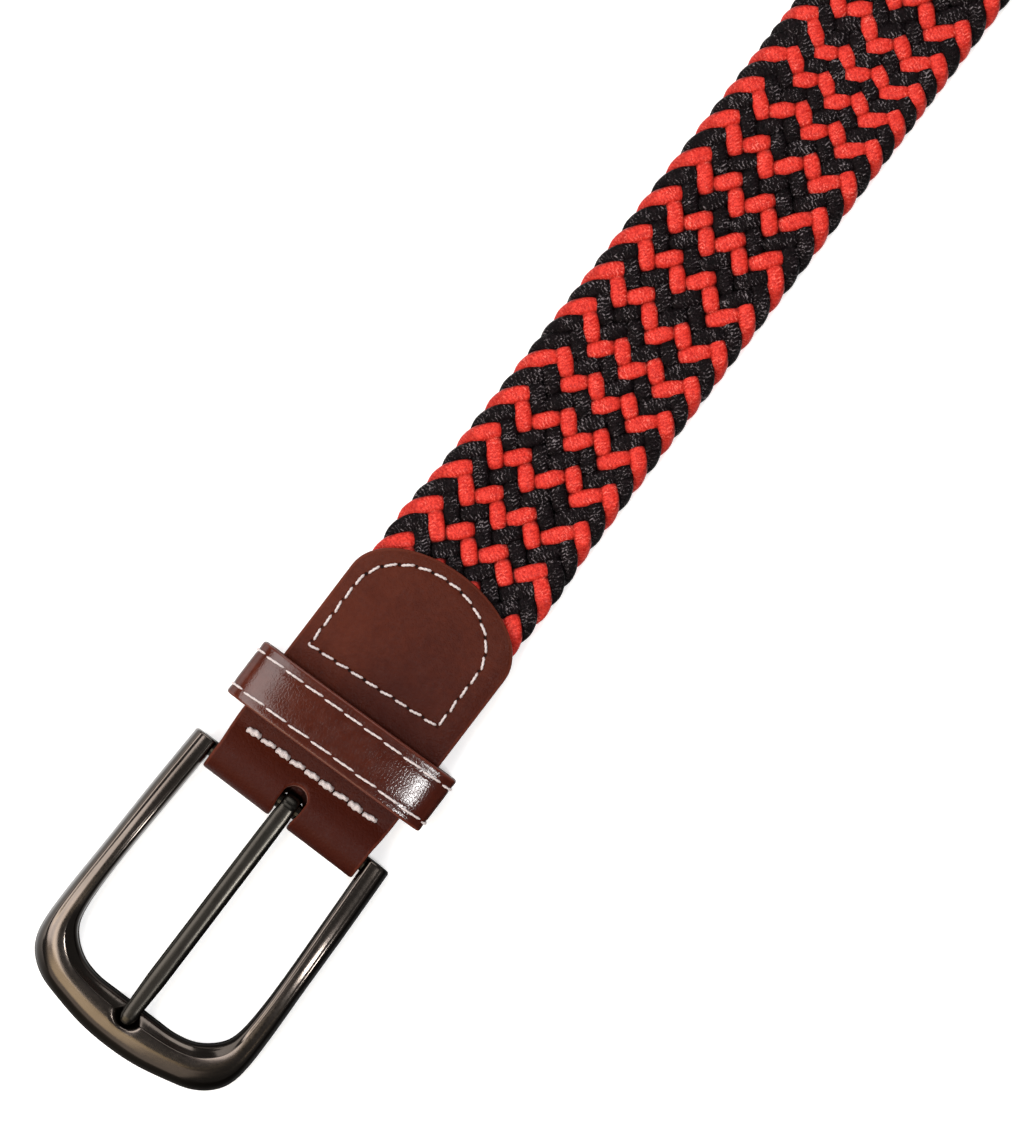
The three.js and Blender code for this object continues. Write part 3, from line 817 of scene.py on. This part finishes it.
def onFace(line, path, front):
    # A line drawn in plan, set on the upper or the lower face of a leather sheet
    line = denser(line, 0.5)
    if front:
        heights = np.interp(line[:, 0], path[:, 0], path[:, 1])
        slope = np.interp(line[:, 0], path[:, 0], np.gradient(path[:, 1], path[:, 0]))
        normals = unit(beside(-slope, 0.0, 1.0))
    else:
        heights = np.zeros(len(line))
        normals = np.repeat([[0.0, 0.0, -1.0]], len(line), axis=0)
    return np.column_stack([line, heights]) - 0.12 * normals, normals


tabFace = curveThrough(tab["top"], 10)
tipFace = curveThrough(tip["front"], 12)
flatStitch = {"pitch": 3.3, "length": 2.5, "radius": 0.2}
flatRow = {"pitch": 3.4, "length": 3.0, "radius": 0.2}
stitches("stitches_panel", [(*onFace(panelLine(), tabFace, True), panelStitch)])
stitches("stitches_row", [(*onFace(rowLine(), tabFace, True), rowStitch)])
stitches("stitches_under", [(*onFace(panelLine(), tabFace, False), flatStitch),
                            (*onFace(rowLine(), tabFace, False), flatRow)])
stitches("stitches_tip", [(*onFace(tipOutline(tip["inset"]), tipFace, True), tipStitch),
                          (*onFace(tipOutline(tip["inset"]), tipFace, False), flatStitch)])


def keeperRuns():
    # Both rows on the loop's outer face, as many whole stitches as fit round it
    path, length = keeperPath()
    tangent = unit(np.gradient(path, axis=0))
    normals = beside(0.0, tangent[:, 1], -tangent[:, 0])
    runs = []
    for across, look in zip((keeper["inset"], keeper["width"] - keeper["inset"]), keeperRows):
        line = np.column_stack([keeper["start"] + across + keeper["skew"] * path[:, 0], path])
        whole = int(arcLength(line)[-1] / look["pitch"]) * look["pitch"]
        keep = arcLength(line) <= whole + 0.3
        runs.append((line[keep] - 0.1 * normals[keep], normals[keep], look))
    return runs


stitches("stitches_keeper", keeperRuns())
print("stitches made")

# The buckle's frame: one section carried round the outline, with a scoop for the prong in the rail

buckle = {
    "perSpan": 22, "sectionSteps": 8, "railCrest": 5.8, "armCrest": 5.9, "armBase": 1.5,
    "railEnds": (2.5, 15.0), "armRises": (18.0, 52.0), "arch": 2.6, "archFrom": 2.0, "archReach": 64.0,
    "round": 0.6, "drawIn": 2.2, "scoopRadius": 4.0, "scoopHeight": 8.4, "scoopFront": 7.65,
    "scoopEnd": 20.0, "soft": 0.3,
}
# Outer along and across, inner along and across, from the middle of the rail to the end of an arm
buckleStations = np.array([
    [0, 0, 9.3, 0], [0.4, 6.5, 9.3, 4.8], [1.7, 13, 9.4, 9], [3, 17.4, 10.3, 12.8], [5.2, 20.7, 12.2, 15.8],
    [8.2, 22.8, 14.8, 17.9], [12.5, 23.7, 18.3, 18.8], [20, 23.8, 24, 19.1], [31, 23.45, 32, 19],
    [45, 23.1, 45, 18.5], [57.8, 22.65, 57.8, 18],
])
# Share from the inner to the outer face, and heights of the rail and of an arm from base to crest
buckleSection = np.array([
    [0.06, 0, 0], [0, 0.12, 0.12], [0, 0.5, 0.68], [0.06, 0.68, 0.9], [0.14, 0.77, 0.982],
    [0.25, 0.93, 0.997], [0.29, 0.98, 0.999], [0.45, 1, 1], [0.61, 0.965, 0.982], [0.8, 0.84, 0.945],
    [0.94, 0.55, 0.68], [1, 0.22, 0.25], [0.94, 0, 0],
])


def buckleFrame():
    # Each point lies between the two outlines by the section's share, at the section's height
    mirrored = buckleStations[1:] * [1, -1, 1, -1]
    stations = curveThrough(np.vstack([buckleStations[::-1], mirrored]), buckle["perSpan"])
    steps = buckle["sectionSteps"]
    wrapped = np.vstack([buckleSection[-1:], buckleSection, buckleSection[:2]])
    section = curveThrough(wrapped, steps)[steps:-steps - 1]
    outer, inner = stations[:, None, :2], stations[:, None, 2:]
    plan = inner + (outer - inner) * section[None, :, :1]
    railShare = 1 - smoothRise(*buckle["railEnds"], stations[:, :1])
    rise = smoothRise(*buckle["armRises"], stations[:, :1])
    base = buckle["armBase"] * rise
    crest = buckle["railCrest"] + (buckle["armCrest"] - buckle["railCrest"]) * rise
    height = base + (crest - base) * (section[:, 2] + (section[:, 1] - section[:, 2]) * railShare)
    # the whole frame is arched from the rail to the hinge by a squared sine
    arched = np.clip((plan[..., 0] - buckle["archFrom"]) / buckle["archReach"], 0, 1)
    height += buckle["arch"] * np.sin(np.pi * arched) ** 2
    rings = np.concatenate([plan, height[..., None]], axis=-1)
    # the arms' ends: rings that move out along a quarter circle and draw in
    ends = []
    for ring in (rings[0], rings[-1]):
        turn = np.linspace(0, np.pi / 2, 6)[1:, None, None]
        middle = ring.mean(axis=0)
        drawn = middle + (ring - middle) * (1 - buckle["round"] * (1 - np.cos(turn)) / buckle["drawIn"])
        drawn[..., 0] = ring[:, 0] + buckle["round"] * np.sin(turn[..., 0])
        ends.append(drawn)
    rings = np.concatenate([ends[0][::-1], rings, ends[1]])
    # the scoop: the lower of the surface and a ball-ended groove, eased where they meet
    x, y, z = rings[..., 0], rings[..., 1], rings[..., 2]
    room = buckle["scoopRadius"] ** 2 - y ** 2 - np.maximum(buckle["scoopFront"] - x, 0) ** 2
    scoop = np.where(room > 0, buckle["scoopHeight"] - np.sqrt(np.maximum(room, 0)), farAway)
    eased = 0.5 * (z + scoop - np.sqrt((z - scoop) ** 2 + buckle["soft"] ** 2))
    rings[..., 2] = np.where((x < buckle["scoopEnd"]) & (scoop < farAway), eased, z)
    faces = tubeFaces(rings.shape[0], rings.shape[1])
    piece = addPiece("buckle_frame_cast", "buckle", rings, faces, [gunmetal])
    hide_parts("buckle_frame")


buckleFrame()
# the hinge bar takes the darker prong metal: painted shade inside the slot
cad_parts["hinge_bar"].data.materials.clear()
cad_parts["hinge_bar"].data.materials.append(prongMetalShaded)
print("buckle made")

# The prong: a rounded bar whose end wraps round the hinge bar

prong = {
    "rows": [  # along, underside, upper face, half width
        (5.5, 5.95, 6.05, 0.1), (5.65, 5.6, 6.32, 0.72), (6.1, 5.32, 6.58, 1.15), (6.9, 5.12, 6.76, 1.5),
        (8.2, 5.0, 6.85, 1.66), (16, 4.85, 7.05, 1.95), (24, 4.9, 7.35, 1.95), (34, 5.05, 7.5, 1.95),
        (44, 4.95, 7.3, 1.95), (51, 4.95, 6.95, 1.92), (54.8, 5.2, 6.84, 1.85), (56.3, 5.5, 6.84, 1.66),
        (56.9, 5.55, 6.84, 1.65),
    ],
    "tip": 5.5, "tipEnd": 8.2, "tipRings": 16, "shankRings": 90, "sides": 40, "square": 0.7,
    "wrapRadius": 2.4, "wrapHalf": 0.55, "wrapWidth": 1.65, "wrapTurn": 285.0, "wrapRings": 60,
}


def prongPiece():
    # A squared ellipse carried along the shank and round the bar, closing where the wrap ends
    rows = np.array(prong["rows"])
    tipAlong = np.linspace(prong["tip"], prong["tipEnd"], prong["tipRings"])[:-1]
    along = np.concatenate([tipAlong, np.linspace(prong["tipEnd"], barAlong, prong["shankRings"])])
    low, high, half = (np.interp(along, rows[:, 0], rows[:, i]) for i in (1, 2, 3))
    middle = beside(along, (low + high) / 2)
    thick = (high - low) / 2
    outwards = np.repeat([[0.0, 1.0]], len(along), axis=0)
    turn = np.radians(np.linspace(0, prong["wrapTurn"], prong["wrapRings"])[1:])
    around = beside(np.sin(turn), np.cos(turn))
    middle = np.vstack([middle, [barAlong, barHeight] + prong["wrapRadius"] * around])
    outwards = np.vstack([outwards, around])
    closing = np.sqrt(np.maximum(1 - np.linspace(0, 1, len(turn)) ** 24, 0.03))
    thick = np.concatenate([thick, prong["wrapHalf"] * closing])
    half = np.concatenate([half, prong["wrapWidth"] * (0.6 + 0.4 * closing)])
    angle = np.arange(prong["sides"]) / prong["sides"] * 2 * np.pi
    y = signedPower(np.cos(angle), prong["square"])
    up = signedPower(np.sin(angle), prong["square"])
    offset = outwards[:, None] * (thick[:, None] * up)[..., None]
    rings = beside(middle[:, :1] + offset[..., 0], half[:, None] * y, middle[:, 1:] + offset[..., 1])
    piece = addPiece("prong_bar", "prong", rings, tubeFaces(*rings.shape[:2]), [prongMetalShaded])
    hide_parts("prong")


prongPiece()
print("prong made")

# Floor, lights and camera

studio = {
    "floor": (0.93, 0.93, 0.93), "floorDark": (0.88, 0.88, 0.88), "glow": 0.45, "world": 0.1,
    "card": 0.85, "cardFrom": 12.0, "cardSlope": 0.6, "cardFade": 30.0,
    "focus": (-0.406, -0.0067, 0.004), "cameraHeight": 1.3, "turn": -52.7, "lens": 218.3,
}


def stagePlane(name, size, height, material, **rays):
    # A level square under the belt, with the kinds of ray that see it
    bpy.ops.mesh.primitive_plane_add(size=size, location=(0, 0, height))
    plane = bpy.context.object
    plane.name = name
    plane.data.materials.append(material)
    for key, value in rays.items():
        setattr(plane, key, value)


def paleFloor():
    # Nearly even, with a faint glow of its own, and not reflected in the metal
    material, tree, shader, mm = startMaterial("pale floor")
    shade = mixed(tree, noise(tree, mm, 0.004, 2.0), studio["floorDark"], studio["floor"])
    feed(tree, shader, {"Base Color": shade, "Roughness": 0.9, "Emission Color": (1, 1, 1),
                        "Emission Strength": studio["glow"]})
    stagePlane("stage_floor", 8, -0.0002, material, visible_glossy=False)


def whiteCard():
    # A card that only polished metal sees, beside the left arm, fading out towards the buckle's front
    material, tree, shader, mm = startMaterial("white card")
    place = addNode(tree, "ShaderNodeSeparateXYZ", {0: mm})
    along = calc(tree, "MULTIPLY", calc(tree, "ADD", place.outputs[0], beltLength / 2), studio["cardSlope"])
    fromCorner = calc(tree, "ADD", calc(tree, "SUBTRACT", place.outputs[1], studio["cardFrom"]), along)
    glow = ramp(tree, fromCorner, 0.0, studio["cardFade"], 0.0, studio["card"])
    feed(tree, shader, {"Base Color": (0, 0, 0), "Emission Color": (1, 1, 1), "Emission Strength": glow})
    stagePlane("stage_card", 4, -0.0001, material, visible_camera=False, visible_diffuse=False,
               visible_shadow=False, visible_transmission=False)


def addLight(name, place, size, brightness, colour=(1, 1, 1)):
    # A soft panel that faces the buckle's end. Its power is brightness times pi times its area.
    data = bpy.data.lights.new(name, "AREA")
    data.shape, data.size, data.size_y, data.color = "RECTANGLE", *size, colour
    data.energy = brightness * np.pi * size[0] * size[1]
    light = bpy.data.objects.new(name, data)
    bpy.context.scene.collection.objects.link(light)
    focus = Vector(studio["focus"])
    light.location = focus + Vector(place)
    light.rotation_euler = (focus - light.location).to_track_quat("-Z", "Y").to_euler()


paleFloor()
whiteCard()
addLight("panel_front", (-0.9, 0.2, 1.1), (0.5, 0.75), 2.6, (1.0, 0.82, 0.52))
addLight("panel_left", (-0.16, 0.5, 1.1), (1.15, 0.56), 5.0, (1.0, 0.96, 0.95))
addLight("panel_right", (-0.1, -0.4, 1.2), (0.14, 0.19), 66.0)
addLight("panel_low", (-1.1, 0.1, 0.6), (0.9, 1.3), 0.8, (1.0, 0.9, 0.8))
addLight("panel_back", (1.0, 0.3, 0.8), (0.6, 1.0), 2.6)
addLight("panel_side", (-0.15, 0.9, 0.22), (1.2, 0.5), 1.6)
world = bpy.data.worlds.new("studio")
world.use_nodes = True
background = world.node_tree.nodes["Background"]
feed(world.node_tree, background, {"Color": (1, 1, 1), "Strength": studio["world"]})
bpy.context.scene.world = world
bpy.context.scene.view_settings.view_transform = "Standard"

cameraData = bpy.data.cameras.new("camera")
cameraData.lens = studio["lens"]
camera = bpy.data.objects.new("camera", cameraData)
bpy.context.scene.collection.objects.link(camera)
camera.location = (studio["focus"][0], studio["focus"][1], studio["cameraHeight"])
camera.rotation_euler = (0, 0, np.radians(studio["turn"]))
bpy.context.scene.camera = camera
print("studio made")
